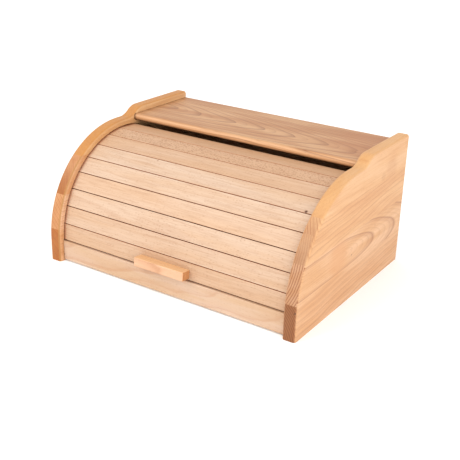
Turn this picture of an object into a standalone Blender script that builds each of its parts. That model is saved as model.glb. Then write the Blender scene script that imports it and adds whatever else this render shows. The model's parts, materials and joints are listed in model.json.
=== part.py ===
"""Roll-top bread box in beech.

Two side panels carry a base, a back, a top board and a front rail. Nine slats on a canvas form the
roll top. Its slat ends run in grooves that follow one circle, so the whole roll top turns about the
centre of that circle: up and back from the rail to open, until the end slat nears the base.

Metres, +Z up, front towards -Y. The origin is on the standing plane, under the middle of the box.
"""

import math

import bmesh
import bpy
from mathutils import Matrix, Vector

GAP = 0.0003  # left between pieces that meet

# Side panels
WIDTH = 0.390
PANEL_THICKNESS = 0.018
PANEL_DEPTH = 0.2893
PANEL_HEIGHT = 0.1845
RIM_RADIUS = 0.1413  # the front quarter circle of the panel's outline
ARC_HEIGHT = 0.031  # height of the centre of the rim and of the groove
RIM_ROUNDING_INSIDE = 0.004
RIM_ROUNDING_OUTSIDE = 0.0035
STEP_BEND = 0.025  # radius of the two bends of the step up to the ridge
STEP_START = 0.010  # from the top of the rim circle back to the step
INNER_X = WIDTH / 2 - PANEL_THICKNESS

# Roll top
SLAT_COUNT = 9
SLAT_RADIUS = 0.132  # out to the lines where neighbouring slat faces would meet
SLAT_THICKNESS = 0.007
SLAT_HALF_PITCH = math.radians(5.38)
END_SLAT_HALF_PITCH = math.radians(7.2)  # the end slat is a little wider
FIRST_EDGE = math.radians(-0.6)  # where the lowest slat begins, from the horizontal
SLAT_ROUNDING = 0.0006
SLAT_TONGUE = 0.007  # slat end inside the groove
CANVAS_THICKNESS = 0.0007
CANVAS_WIDTH = 0.340

# Groove
GROOVE_INNER_RADIUS = 0.1236
GROOVE_OUTER_RADIUS = 0.1330
GROOVE_DEPTH = 0.008
GROOVE_START = math.radians(-0.75)
GROOVE_END = math.radians(186.3)  # stops the end slat just after the roll top is open

# Handle
HANDLE_LENGTH = 0.078
HANDLE_HEIGHT = 0.0121
HANDLE_DEPTH = 0.014
HANDLE_ROUNDING = 0.001
HANDLE_OFFSET = -0.00285  # down from the middle of the lowest slat
HANDLE_X = -0.0035  # a little left of the middle
SCREW_SPACING = 0.050
SCREW_LENGTH = 0.0160
SCREW_RADIUS = 0.0015
SCREW_HEAD_RADIUS = 0.003
SCREW_HEAD_HEIGHT = 0.0022

# Front rail
RAIL_SETBACK = 0.0068
RAIL_THICKNESS = 0.014
RAIL_BOTTOM = 0.002
RAIL_TOP = 0.0300  # at the front; the top slopes down inwards, like the slat edge that rests on it
RAIL_ROUNDING = 0.0008
DOWEL_RADIUS = 0.003
DOWEL_LENGTH = 0.024
DOWEL_CHAMFER = 0.0006
DOWEL_IN_PANEL = 0.011
DOWEL_SETBACK = 0.005  # from the rail's front face to the dowel's axis
DOWEL_HEIGHTS = (0.0085, 0.0220)

# Base, back and top
BASE_BOTTOM = 0.007
BASE_TOP = 0.015
BASE_HOUSING = 0.006  # depth of its slots in the side panels
BASE_IN_RAIL = 0.004
BACK_THICKNESS = 0.0055
BACK_SETBACK = 0.0005
BACK_HOUSING = 0.008
TOP_BOTTOM = 0.1659
TOP_TOP = 0.1754
TOP_HOUSING = 0.006
TOP_FRONT = 0.0243  # front of the top board, behind the arc centre
TOP_SLOT_FRONT = 0.0234
BRAD_LENGTH = 0.016
BRAD_RADIUS = 0.0008
BRAD_HEAD_RADIUS = 0.0015
BRAD_HEAD_HEIGHT = 0.0008
SIDE_BRAD_HEIGHTS = (0.070, 0.110, 0.150)
BASE_BRAD_X = (-0.120, 0.0, 0.120)

CUT_MARGIN = 0.005  # how far a cutter runs past the wood


def handle_reach():
    """How far the handle's lower front edge stands from the arc's centre, towards the front."""
    face = SLAT_RADIUS * math.cos(SLAT_HALF_PITCH) + GAP + HANDLE_DEPTH - HANDLE_ROUNDING
    drop = HANDLE_HEIGHT / 2 - HANDLE_OFFSET - HANDLE_ROUNDING
    tilt = FIRST_EDGE + SLAT_HALF_PITCH
    return face * math.cos(tilt) + drop * math.sin(tilt) + HANDLE_ROUNDING


HANDLE_PROUD = handle_reach() - RIM_RADIUS
FRONT_Y = -(PANEL_DEPTH - HANDLE_PROUD) / 2
BACK_Y = FRONT_Y + PANEL_DEPTH
ARC_Y = FRONT_Y + RIM_RADIUS
BACK_FACE_Y = BACK_Y - BACK_SETBACK
BACK_INNER_Y = BACK_FACE_Y - BACK_THICKNESS
RAIL_FRONT_Y = FRONT_Y + RAIL_SETBACK
RAIL_BACK_Y = RAIL_FRONT_Y + RAIL_THICKNESS


def clear_scene():
    for obj in list(bpy.data.objects):
        bpy.data.objects.remove(obj)


def make_material(name, colour, roughness, metallic=0.0):
    material = bpy.data.materials.new(name)
    material.use_nodes = True
    shader = material.node_tree.nodes["Principled BSDF"]
    shader.inputs["Base Color"].default_value = (*colour, 1.0)
    shader.inputs["Roughness"].default_value = roughness
    shader.inputs["Metallic"].default_value = metallic
    return material


def make_object(name, mesh_builder, material, location=(0, 0, 0), parent=None):
    """Links an object made from a bmesh, with its normals outwards and its round faces smooth."""
    mesh = bpy.data.meshes.new(name)
    bmesh.ops.recalc_face_normals(mesh_builder, faces=mesh_builder.faces)
    mesh_builder.to_mesh(mesh)
    mesh_builder.free()
    mesh.shade_smooth()
    mesh.set_sharp_from_angle(angle=math.radians(25))
    if material:
        mesh.materials.append(material)
    obj = bpy.data.objects.new(name, mesh)
    obj.location = location
    obj.parent = parent
    bpy.context.scene.collection.objects.link(obj)
    return obj


def cut(obj, cutter):
    """Takes the cutter's volume out of the object and keeps the cutter as a hidden helper."""
    cutter.hide_render = True
    cutter.display_type = "WIRE"
    modifier = obj.modifiers.new(cutter.name, "BOOLEAN")
    modifier.operation = "DIFFERENCE"
    modifier.solver = "EXACT"
    modifier.object = cutter


def arc_points(centre, radius, start, end, steps):
    """Points on an arc in the YZ plane. An angle of 0 points to the front and 90 degrees up."""
    points = []
    for step in range(steps + 1):
        angle = start + (end - start) * step / steps
        points.append((centre[0] - radius * math.cos(angle), centre[1] + radius * math.sin(angle)))
    return points


def prism(outline, x_low, x_high):
    """A bmesh of an outline in the YZ plane, drawn out along X."""
    bm = bmesh.new()
    face = bm.faces.new([bm.verts.new((x_low, y, z)) for y, z in outline])
    drawn = bmesh.ops.extrude_face_region(bm, geom=[face])
    moved = [item for item in drawn["geom"] if isinstance(item, bmesh.types.BMVert)]
    bmesh.ops.translate(bm, verts=moved, vec=(x_high - x_low, 0, 0))
    return bm


def block(size):
    """A bmesh of a box about its own middle."""
    bm = bmesh.new()
    bmesh.ops.create_cube(bm, size=1)
    bmesh.ops.scale(bm, verts=bm.verts, vec=size)
    return bm


def box_between(name, low, high, material=None):
    low, high = Vector(low), Vector(high)
    return make_object(name, block(high - low), material, (low + high) / 2)


def round_edges(bm, edges, radius, segments):
    bmesh.ops.bevel(
        bm,
        geom=list(edges),
        offset=radius,
        segments=segments,
        profile=0.5,
        affect="EDGES",
        material=-1,
    )


def turned(profile, steps=12):
    """A bmesh turned about the Y axis from (radius, y) points that begin and end on the axis."""
    bm = bmesh.new()
    verts = [bm.verts.new((radius, y, 0)) for radius, y in profile]
    edges = [bm.edges.new(pair) for pair in zip(verts, verts[1:])]
    bmesh.ops.spin(
        bm,
        geom=verts + edges,
        axis=(0, 1, 0),
        cent=(0, 0, 0),
        angle=math.tau,
        steps=steps,
        use_merge=True,
    )
    bmesh.ops.remove_doubles(bm, verts=bm.verts, dist=0.00001)
    return bm


def panel_outline():
    """The side panel seen from the left: quarter circle rim, a step up to the ridge, straight back."""
    rim_top_y = ARC_Y
    rim_top_z = ARC_HEIGHT + RIM_RADIUS
    rise = PANEL_HEIGHT - rim_top_z
    bend = math.acos(1 - rise / 2 / STEP_BEND)
    step_y = rim_top_y + STEP_START
    ridge_y = step_y + 2 * STEP_BEND * math.sin(bend)
    quarter = math.pi / 2
    outline = [(FRONT_Y, 0)]
    outline += arc_points((ARC_Y, ARC_HEIGHT), RIM_RADIUS, 0, quarter, 30)
    lower_bend = (step_y, rim_top_z + STEP_BEND)
    outline += arc_points(lower_bend, STEP_BEND, 3 * quarter, 3 * quarter - bend, 5)
    upper_bend = (ridge_y, PANEL_HEIGHT - STEP_BEND)
    outline += arc_points(upper_bend, STEP_BEND, quarter - bend, quarter, 5)[1:]
    return outline + [(BACK_Y, PANEL_HEIGHT), (BACK_Y, 0)]


def is_rim(edge, x):
    """True for an edge round the outline of the panel's face at x, except along its foot and back."""
    on_face = all(abs(vert.co.x - x) < 0.0001 for vert in edge.verts)
    above_foot = any(vert.co.z > 0.0001 for vert in edge.verts)
    return on_face and above_foot and any(vert.co.y < BACK_Y - 0.0001 for vert in edge.verts)


def groove_outline():
    centre = (ARC_Y, ARC_HEIGHT)
    outer = arc_points(centre, GROOVE_OUTER_RADIUS, GROOVE_START, GROOVE_END, 56)
    inner = arc_points(centre, GROOVE_INNER_RADIUS, GROOVE_START, GROOVE_END, 56)
    return outer + inner[::-1]


def top_slot_outline():
    """The stopped slot that takes the end of the top board, with its round front."""
    radius = (TOP_TOP - TOP_BOTTOM) / 2 + GAP
    middle = (ARC_Y + TOP_SLOT_FRONT + radius, (TOP_TOP + TOP_BOTTOM) / 2)
    outline = arc_points(middle, radius, -math.pi / 2, math.pi / 2, 8)
    past_back = BACK_Y + CUT_MARGIN
    return outline + [(past_back, TOP_TOP + GAP), (past_back, TOP_BOTTOM - GAP)]


def side_cut(name, side, outline, depth):
    """A cutter for the inner face of one side panel."""
    near = side * (INNER_X - CUT_MARGIN)
    far = side * (INNER_X + depth)
    return make_object(name, prism(outline, near, far), None)


def rectangle(y_low, y_high, z_low, z_high):
    return [(y_low, z_low), (y_high, z_low), (y_high, z_high), (y_low, z_high)]


def side_panel(name, side, material):
    bm = prism(panel_outline(), side * INNER_X, side * WIDTH / 2)
    for x, radius in ((INNER_X, RIM_ROUNDING_INSIDE), (WIDTH / 2, RIM_ROUNDING_OUTSIDE)):
        rim = [edge for edge in bm.edges if is_rim(edge, side * x)]
        round_edges(bm, rim, radius, 3)
    panel = make_object(name, bm, material)
    cut(panel, side_cut(name + "_groove_cut", side, groove_outline(), GROOVE_DEPTH))
    cut(panel, side_cut(name + "_top_cut", side, top_slot_outline(), TOP_HOUSING + GAP))
    base_slot = rectangle(
        RAIL_BACK_Y - BASE_IN_RAIL - GAP, BACK_Y - BACK_THICKNESS, BASE_BOTTOM - GAP, BASE_TOP + GAP
    )
    cut(panel, side_cut(name + "_base_cut", side, base_slot, BASE_HOUSING + GAP))
    rebate = rectangle(BACK_INNER_Y - GAP, BACK_Y + CUT_MARGIN, -CUT_MARGIN, TOP_BOTTOM)
    cut(panel, side_cut(name + "_back_cut", side, rebate, BACK_HOUSING + GAP))
    for number, height in enumerate(DOWEL_HEIGHTS, 1):
        hole = dowel_shape(GAP)
        hole_name = f"{name}_dowel_cut_{number}"
        cut(panel, make_object(hole_name, hole, None, dowel_place(side, height)))
    for number, height in enumerate(SIDE_BRAD_HEIGHTS, 1):
        hole_name = f"{name}_brad_cut_{number}"
        cut(panel, make_object(hole_name, brad_shape(GAP), None, side_brad_place(side, height)))
    return panel


def dowel_shape(clearance):
    """A dowel along X about its own middle, or the hole for it when there is a clearance."""
    radius = DOWEL_RADIUS + clearance
    half = DOWEL_LENGTH / 2 + clearance
    shoulder = half - DOWEL_CHAMFER
    tip = radius - DOWEL_CHAMFER
    bm = turned([(0, -half), (tip, -half), (radius, -shoulder), (radius, shoulder), (tip, half), (0, half)])
    bmesh.ops.rotate(bm, verts=bm.verts, matrix=Matrix.Rotation(math.pi / 2, 3, "Z"))
    return bm


def dowel_place(side, height):
    x = side * (INNER_X + DOWEL_IN_PANEL - DOWEL_LENGTH / 2)
    return (x, RAIL_FRONT_Y + DOWEL_SETBACK, height)


def brad_shape(clearance):
    """A brad with its head at the origin and its point towards -Y, or the hole for it."""
    radius = BRAD_RADIUS + clearance
    head = BRAD_HEAD_RADIUS + clearance
    under = -BRAD_HEAD_HEIGHT - clearance
    point = -BRAD_LENGTH - clearance
    top = 4 * clearance
    profile = [(0, top), (head, top), (head, under), (radius, under)]
    profile += [(radius, point + 2 * BRAD_RADIUS), (0, point)]
    return turned(profile, 8)


def side_brad_place(side, height):
    return (side * (INNER_X + BACK_HOUSING / 2), BACK_FACE_Y - GAP, height)


def base_brad_place(x):
    return (x, BACK_FACE_Y - GAP, (BASE_BOTTOM + BASE_TOP) / 2)


def brad_places():
    places = [side_brad_place(side, z) for side in (-1, 1) for z in SIDE_BRAD_HEIGHTS]
    return places + [base_brad_place(x) for x in BASE_BRAD_X]


def front_rail(material):
    fall = RAIL_THICKNESS * math.tan(FIRST_EDGE + SLAT_HALF_PITCH)
    outline = [(RAIL_FRONT_Y, RAIL_BOTTOM), (RAIL_FRONT_Y, RAIL_TOP)]
    outline += [(RAIL_BACK_Y, RAIL_TOP - fall), (RAIL_BACK_Y, RAIL_BOTTOM)]
    half = INNER_X - GAP
    bm = prism(outline, -half, half)
    front = [edge for edge in bm.edges if all(v.co.y < RAIL_FRONT_Y + 0.001 for v in edge.verts)]
    along = [edge for edge in front if edge.calc_length() > half]
    round_edges(bm, along, RAIL_ROUNDING, 2)
    rail = make_object("front_rail", bm, material)
    slot_low = (-WIDTH / 2, RAIL_BACK_Y - BASE_IN_RAIL - GAP, BASE_BOTTOM - GAP)
    slot_high = (WIDTH / 2, RAIL_BACK_Y + CUT_MARGIN, BASE_TOP + GAP)
    cut(rail, box_between("front_rail_base_cut", slot_low, slot_high))
    for side, word in ((-1, "left"), (1, "right")):
        for number, height in enumerate(DOWEL_HEIGHTS, 1):
            hole_name = f"front_rail_{word}_dowel_cut_{number}"
            cut(rail, make_object(hole_name, dowel_shape(GAP), None, dowel_place(side, height)))
    return rail


def base_board(material):
    half = INNER_X + BASE_HOUSING
    low = (-half, RAIL_BACK_Y - BASE_IN_RAIL, BASE_BOTTOM)
    high = (half, BACK_INNER_Y - GAP, BASE_TOP)
    base = box_between("base_board", low, high, material)
    for number, x in enumerate(BASE_BRAD_X, 1):
        hole = make_object(f"base_board_brad_cut_{number}", brad_shape(GAP), None, base_brad_place(x))
        cut(base, hole)
    return base


def back_panel(material):
    half = INNER_X + BACK_HOUSING
    low = (-half, BACK_INNER_Y, RAIL_BOTTOM)
    high = (half, BACK_FACE_Y, TOP_BOTTOM - GAP)
    back = box_between("back_panel", low, high, material)
    for number, place in enumerate(brad_places(), 1):
        cut(back, make_object(f"back_panel_brad_cut_{number}", brad_shape(GAP), None, place))
    return back


def top_board(material):
    """The fixed top, with a full round along its front edge."""
    radius = (TOP_TOP - TOP_BOTTOM) / 2
    middle = (ARC_Y + TOP_FRONT + radius, (TOP_TOP + TOP_BOTTOM) / 2)
    outline = arc_points(middle, radius, -math.pi / 2, math.pi / 2, 10)
    outline += [(BACK_Y, TOP_TOP), (BACK_Y, TOP_BOTTOM)]
    half = INNER_X + TOP_HOUSING
    return make_object("top_board", prism(outline, -half, half), material)


def half_pitch(number):
    return END_SLAT_HALF_PITCH if number == SLAT_COUNT else SLAT_HALF_PITCH


def slat_angle(number):
    """How far up the circle the middle of a slat lies, counted from 1 at the rail."""
    return FIRST_EDGE + 2 * SLAT_HALF_PITCH * (number - 1) + half_pitch(number)


def slat_face(number):
    """Distance of a slat's outer face from the circle's centre."""
    return SLAT_RADIUS * math.cos(half_pitch(number))


def slat_width(number):
    """The slats all but meet at their inner faces, which leaves a V between the outer ones."""
    inner = slat_face(number) - SLAT_THICKNESS
    return 2 * inner * math.tan(half_pitch(number)) - GAP


def place_on_circle(obj, number, axis):
    obj.parent = axis
    obj.rotation_euler = (-slat_angle(number), 0, 0)


def slat(number, material, axis):
    face = slat_face(number)
    half = slat_width(number) / 2
    outline = rectangle(-face, -face + SLAT_THICKNESS, -half, half)
    reach = INNER_X + SLAT_TONGUE
    bm = prism(outline, -reach, reach)
    front = [edge for edge in bm.edges if all(v.co.y < -face + SLAT_ROUNDING for v in edge.verts)]
    along = [edge for edge in front if edge.calc_length() > reach]
    round_edges(bm, along, SLAT_ROUNDING, 2)
    obj = make_object(f"slat_{number}", bm, material)
    place_on_circle(obj, number, axis)
    return obj


def canvas(material, axis):
    """The cloth glued across the inner faces of the slats, bent at each joint between them."""
    corners = []
    angle = FIRST_EDGE
    for number in range(1, SLAT_COUNT + 1):
        inner = slat_face(number) - SLAT_THICKNESS - GAP
        corners.append((angle, inner, math.cos(half_pitch(number))))
        angle += 2 * half_pitch(number)
    corners.append((angle, inner, math.cos(half_pitch(SLAT_COUNT))))
    near, far = [], []
    for angle, inner, slope in corners:
        for line, radius in ((far, inner / slope), (near, (inner - CANVAS_THICKNESS) / slope)):
            line.append((-radius * math.cos(angle), radius * math.sin(angle)))
    bm = prism(far + near[::-1], -CANVAS_WIDTH / 2, CANVAS_WIDTH / 2)
    return make_object("canvas_backing", bm, material, parent=axis)


def screw_shape(clearance):
    """A countersunk screw with its head at the origin and its point towards -Y, or its hole."""
    radius = SCREW_RADIUS + clearance
    head = SCREW_HEAD_RADIUS + clearance
    point = -SCREW_LENGTH - clearance
    top = 4 * clearance
    profile = [(0, top), (head, top), (head, 0), (radius, -SCREW_HEAD_HEIGHT)]
    profile += [(radius, point + 2 * SCREW_RADIUS), (0, point)]
    return turned(profile)


def screw_places():
    """Places of the screw heads, just below the inner face of the lowest slat, in that slat's own frame."""
    inner = slat_face(1) - SLAT_THICKNESS + GAP
    return [(HANDLE_X + side * SCREW_SPACING / 2, -inner, HANDLE_OFFSET) for side in (-1, 1)]


def handle_and_screws(lowest_slat, wood, steel, axis):
    face = slat_face(1) + GAP
    bm = block((HANDLE_LENGTH, HANDLE_DEPTH, HANDLE_HEIGHT))
    outer = [edge for edge in bm.edges if any(v.co.y < 0 for v in edge.verts)]
    round_edges(bm, outer, HANDLE_ROUNDING, 2)
    bmesh.ops.translate(bm, verts=bm.verts, vec=(HANDLE_X, -face - HANDLE_DEPTH / 2, HANDLE_OFFSET))
    handle = make_object("handle", bm, wood)
    place_on_circle(handle, 1, axis)
    for word, place in zip(("left", "right"), screw_places()):
        bm = screw_shape(GAP)
        bmesh.ops.translate(bm, verts=bm.verts, vec=place)
        hole = make_object(f"handle_screw_cut_{word}", bm, None)
        place_on_circle(hole, 1, axis)
        cut(lowest_slat, hole)
        cut(handle, hole)
        bm = screw_shape(0)
        bmesh.ops.translate(bm, verts=bm.verts, vec=place)
        place_on_circle(make_object(f"handle_screw_{word}", bm, steel), 1, axis)


def build_case(board_wood, rail_wood, top_wood, dowel_wood, steel):
    side_panel("left_side_panel", -1, board_wood)
    side_panel("right_side_panel", 1, board_wood)
    base_board(board_wood)
    back_panel(board_wood)
    top_board(top_wood)
    front_rail(rail_wood)
    for side, word in ((-1, "left"), (1, "right")):
        for number, height in enumerate(DOWEL_HEIGHTS, 1):
            place = dowel_place(side, height)
            make_object(f"{word}_rail_dowel_{number}", dowel_shape(0), dowel_wood, place)
    for number, place in enumerate(brad_places(), 1):
        make_object(f"back_panel_brad_{number}", brad_shape(0), steel, place)


def build_roll_top(slat_wood, handle_wood, cloth, steel):
    axis = bpy.data.objects.new("roll_top_axis", None)
    axis.location = (0, ARC_Y, ARC_HEIGHT)
    bpy.context.scene.collection.objects.link(axis)
    slats = [slat(number, slat_wood, axis) for number in range(1, SLAT_COUNT + 1)]
    canvas(cloth, axis)
    handle_and_screws(slats[0], handle_wood, steel, axis)


def main():
    clear_scene()
    board_wood = make_material("beech_board", (0.87, 0.50, 0.27), 0.55)
    rail_wood = make_material("beech_rail", (0.83, 0.51, 0.32), 0.55)
    top_wood = make_material("beech_top", (0.63, 0.35, 0.21), 0.5)
    slat_wood = make_material("beech_slat", (0.86, 0.58, 0.40), 0.55)
    handle_wood = make_material("beech_handle", (0.86, 0.56, 0.34), 0.5)
    dowel_wood = make_material("beech_dowel", (0.75, 0.50, 0.30), 0.6)
    cloth = make_material("cotton_canvas", (0.72, 0.66, 0.54), 0.9)
    steel = make_material("bright_steel", (0.60, 0.60, 0.60), 0.35, 1.0)
    build_case(board_wood, rail_wood, top_wood, dowel_wood, steel)
    build_roll_top(slat_wood, handle_wood, cloth, steel)


main()
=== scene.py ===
import json
import math

import bmesh
import bpy
from mathutils import Matrix, Quaternion, Vector


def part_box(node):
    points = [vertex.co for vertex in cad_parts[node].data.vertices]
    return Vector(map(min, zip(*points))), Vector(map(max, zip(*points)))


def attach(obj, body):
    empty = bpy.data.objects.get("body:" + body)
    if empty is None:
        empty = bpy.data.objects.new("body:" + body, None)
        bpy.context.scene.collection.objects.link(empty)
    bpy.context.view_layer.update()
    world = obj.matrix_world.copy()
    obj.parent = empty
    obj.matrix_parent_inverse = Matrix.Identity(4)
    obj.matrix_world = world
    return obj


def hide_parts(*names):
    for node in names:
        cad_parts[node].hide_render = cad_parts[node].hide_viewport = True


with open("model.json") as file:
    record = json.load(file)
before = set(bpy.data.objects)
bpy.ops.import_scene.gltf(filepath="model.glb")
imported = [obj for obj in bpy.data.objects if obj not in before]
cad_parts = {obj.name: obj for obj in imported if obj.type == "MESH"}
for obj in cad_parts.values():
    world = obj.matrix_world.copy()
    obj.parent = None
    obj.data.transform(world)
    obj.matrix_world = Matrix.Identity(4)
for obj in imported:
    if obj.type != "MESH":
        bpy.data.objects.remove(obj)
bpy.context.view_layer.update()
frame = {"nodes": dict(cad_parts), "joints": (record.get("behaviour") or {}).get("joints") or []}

nodes = frame["nodes"]
turnPoint = Vector(frame["joints"][0]["pos_m"])  # centre of the circle that the roll top runs on
turnAxis = Vector(frame["joints"][0]["axis"])
mm = 0.001
print("frame loaded,", len(nodes), "CAD nodes")


def linear(code):
    # sRGB hex to the linear colour that Blender works in
    parts = [int(code[i:i + 2], 16) / 255 for i in (1, 3, 5)]
    return [p / 12.92 if p <= 0.04045 else ((p + 0.055) / 1.055) ** 2.4 for p in parts] + [1.0]


def addNode(tree, kind, settings=None, inputs=None):
    # adds one node, sets it up and links whatever comes from another node
    node = tree.nodes.new("ShaderNode" + kind)
    for key, value in (settings or {}).items():
        if key != "stops":
            setattr(node, key, value)
            continue
        marks = node.color_ramp.elements
        while len(marks) < len(value):
            marks.new(0.5)
        for mark, (position, tint) in zip(marks, value):
            mark.position = position
            mark.color = linear(tint) if isinstance(tint, str) else [tint] * 3 + [1.0]
    for key, value in (inputs or {}).items():
        if isinstance(value, bpy.types.NodeSocket):
            tree.links.new(value, node.inputs[key])
        else:
            node.inputs[key].default_value = value
    return node


# Steamed beech, planed, sanded and wiped with clear oil: a pale pinkish tan with a low satin
# gloss, faint growth rings, and the short brown ray flecks that tell beech from other woods.
# Lengths in a look are millimetres. Along runs with the grain, across is the width of the board
# and deep its thickness. The heart is where the middle of the tree lay, across and deep, counted
# from the object's origin. Slats and handle carry their own place in their tree, whose heart is 0, 0.
plainBeech = {
    "source": None,  # None reads Object coordinates, or else the name of the piece's own attribute
    "lies": "upright along Y",  # how the board lies in the object
    "heart": (70, -60),
    "lean": (0.0, 0.02),  # how fast the heart drifts away along the grain
    "straightTo": None,  # nearer the front than this the heart runs level, and so do the rings
    "ringWidth": 3.2,
    "ringStrength": 0.30,
    "bandWidth": 11.0,  # a few years stand out darker
    "bandShift": 0.0,  # in widths
    "bandStrength": 0.25,
    "bandFrom": 0,  # no dark years nearer the heart than this
    "wander": 3.0,  # how far the rings stray from their circles
    "pale": "#d6ac88",
    "warm": "#cd9d74",
    "ringColour": "#a8693f",
    "fleckColour": "#945a35",
    "fleckStrength": 0.22,
    "fibreStrength": 0.10,
    "endHeart": None,  # another heart for the rings on the sawn ends
    "endTint": "#cf9f7c",
    "endContrast": 2.0,  # how much more the rings show on the sawn ends
    "rimColour": None,
    "rimStrength": 0.0,  # over the whole edge of the board
    "cornerStrength": 0.0,  # on its rounded corners only
    "toneColour": None,  # colour that the piece's own tone attribute leads towards
    # painted shade: colour of the slats' flanks, backs and ends, which makes the joints between slats look
    # dark brown
    "flankShadeColour": "#b2520f",
    # painted shade at the slat ends, where they go into the grooves
    "endShadeFrom": (173.5, 176.5),  # the ends of the slats darken between these, out from the middle
    # dark spots: knots and tint patches, and a spot of painted shade where a gap between parts shows dark
    "knots": [],  # place in the object, size, depth of colour and tint
    "gloss": 0.48,
}


def beech(name, **changes):
    look = {**plainBeech, **changes}
    wood = bpy.data.materials.new(name)
    wood.use_nodes = True
    tree = wood.node_tree
    shader = tree.nodes["Principled BSDF"]
    place = addNode(tree, "TexCoord")
    if look["source"]:
        source = addNode(tree, "Attribute", {"attribute_name": look["source"]}).outputs["Vector"]
    else:
        source = place.outputs["Object"]
    # turned so that X is along, Y across and Z deep, and counted in millimetres
    turn, grainAxis, faceAxis = {
        "upright along Y": ((0, -math.pi / 2, -math.pi / 2), (0, 1, 0), (1, 0, 0)),
        "upright along X": ((math.pi / 2, 0, 0), (1, 0, 0), (0, 1, 0)),
        "flat along X": ((0, 0, 0), (1, 0, 0), (0, 0, 1)),
    }[look["lies"]]
    grain = addNode(tree, "Mapping", {}, {
        "Vector": source, "Rotation": turn, "Scale": (1 / mm,) * 3})
    grain = grain.outputs["Vector"]

    # how squarely the surface faces along the grain, and out of the face of the board
    facings = []
    for axis in (grainAxis, faceAxis):
        facing = addNode(tree, "VectorMath", {"operation": "DOT_PRODUCT"}, {
            0: place.outputs["Normal"], 1: axis})
        facings.append(addNode(tree, "Math", {"operation": "ABSOLUTE"}, {
            0: facing.outputs["Value"]}).outputs[0])

    # the trunk wandered: slow bends, about 110 mm long and 30 mm wide
    stretched = addNode(tree, "Mapping", {}, {"Vector": grain, "Scale": (1 / 110, 1 / 30, 1 / 30)})
    drift = addNode(tree, "TexNoise", {}, {
        "Vector": stretched.outputs["Vector"], "Scale": 1.0, "Detail": 2.0, "Roughness": 0.45})
    drift = addNode(tree, "VectorMath", {"operation": "SUBTRACT"}, {
        0: drift.outputs["Color"], 1: (0.5, 0.5, 0.5)})
    drift = addNode(tree, "VectorMath", {"operation": "MULTIPLY"}, {
        0: drift.outputs[0], 1: (0, look["wander"] * 2, look["wander"] * 2)})
    bent = addNode(tree, "VectorMath", {"operation": "ADD"}, {0: grain, 1: drift.outputs[0]}).outputs[0]

    # distance from the heart gives the growth rings, and the lean turns them into arches
    along = addNode(tree, "SeparateXYZ", {}, {0: grain}).outputs[0]
    if look["straightTo"] is not None:
        along = addNode(tree, "Math", {"operation": "MAXIMUM"}, {
            0: along, 1: look["straightTo"]}).outputs[0]
    lean = addNode(tree, "VectorMath", {"operation": "SCALE"}, {
        0: (0, look["lean"][0], look["lean"][1]), "Scale": along})
    heart = addNode(tree, "VectorMath", {"operation": "ADD"}, {
        0: lean.outputs[0], 1: (0, *look["heart"])}).outputs[0]
    if look["endHeart"]:
        sawn = addNode(tree, "Math", {"operation": "GREATER_THAN"}, {0: facings[0], 1: 0.75})
        heart = addNode(tree, "Mix", {"data_type": "VECTOR"}, {
            "Factor": sawn.outputs[0], 4: heart, 5: (0, *look["endHeart"])}).outputs[1]
    offset = addNode(tree, "VectorMath", {"operation": "SUBTRACT"}, {0: bent, 1: heart})
    offset = addNode(tree, "VectorMath", {"operation": "MULTIPLY"}, {0: offset.outputs[0], 1: (0, 1, 1)})
    radius = addNode(tree, "VectorMath", {"operation": "LENGTH"}, {0: offset.outputs[0]}).outputs["Value"]

    year = addNode(tree, "Math", {"operation": "DIVIDE"}, {0: radius, 1: look["ringWidth"]})
    year = addNode(tree, "Math", {"operation": "FRACT"}, {0: year.outputs[0]})
    # within a year the wood darkens slowly, then ends in a thin dark line
    ring = addNode(tree, "ValToRGB", {
        "stops": [(0.0, 0.05), (0.55, 0.15), (0.84, 0.45), (0.93, 1.0), (1.0, 0.1)]}, {
        0: year.outputs[0]})
    band = addNode(tree, "Math", {"operation": "MULTIPLY_ADD"}, {
        0: radius, 1: 1 / look["bandWidth"], 2: look["bandShift"]})
    band = addNode(tree, "Math", {"operation": "FRACT"}, {0: band.outputs[0]})
    line = addNode(tree, "ValToRGB", {
        "stops": [(0.0, 0.0), (0.62, 0.05), (0.86, 0.42), (0.93, 1.0), (0.97, 0.15), (1.0, 0.0)]}, {
        0: band.outputs[0]})
    line = line.outputs["Color"]
    if look["endHeart"]:
        # such ends show the single years only
        across = addNode(tree, "Math", {"operation": "LESS_THAN"}, {0: facings[0], 1: 0.75})
        line = addNode(tree, "Math", {"operation": "MULTIPLY"}, {0: line, 1: across.outputs[0]}).outputs[0]
    if look["bandFrom"]:
        outer = addNode(tree, "MapRange", {"interpolation_type": "SMOOTHSTEP"}, {
            "Value": radius, "From Min": look["bandFrom"] - 3, "From Max": look["bandFrom"] + 3})
        line = addNode(tree, "Math", {"operation": "MULTIPLY"}, {0: line, 1: outer.outputs[0]}).outputs[0]

    # slow changes of tone across a board
    wide = addNode(tree, "Mapping", {}, {"Vector": bent, "Scale": (1 / 130, 1 / 17, 1 / 17)})
    cloud = addNode(tree, "TexNoise", {}, {
        "Vector": wide.outputs["Vector"], "Scale": 1.0, "Detail": 3.0, "Roughness": 0.5})
    cloudiness = addNode(tree, "MapRange", {"interpolation_type": "SMOOTHSTEP"}, {
        "Value": cloud.outputs["Fac"], "From Min": 0.32, "From Max": 0.68})

    # fibres about 1.4 mm apart, drawn several times wider than the real ones so that they show
    thin = addNode(tree, "Mapping", {}, {"Vector": bent, "Scale": (1 / 40, 1 / 1.4, 1 / 1.4)})
    fibre = addNode(tree, "TexNoise", {}, {
        "Vector": thin.outputs["Vector"], "Scale": 1.0, "Detail": 3.0, "Roughness": 0.6})
    streaks = addNode(tree, "MapRange", {"interpolation_type": "SMOOTHSTEP"}, {
        "Value": fibre.outputs["Fac"], "From Min": 0.42, "From Max": 0.68}).outputs[0]

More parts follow.
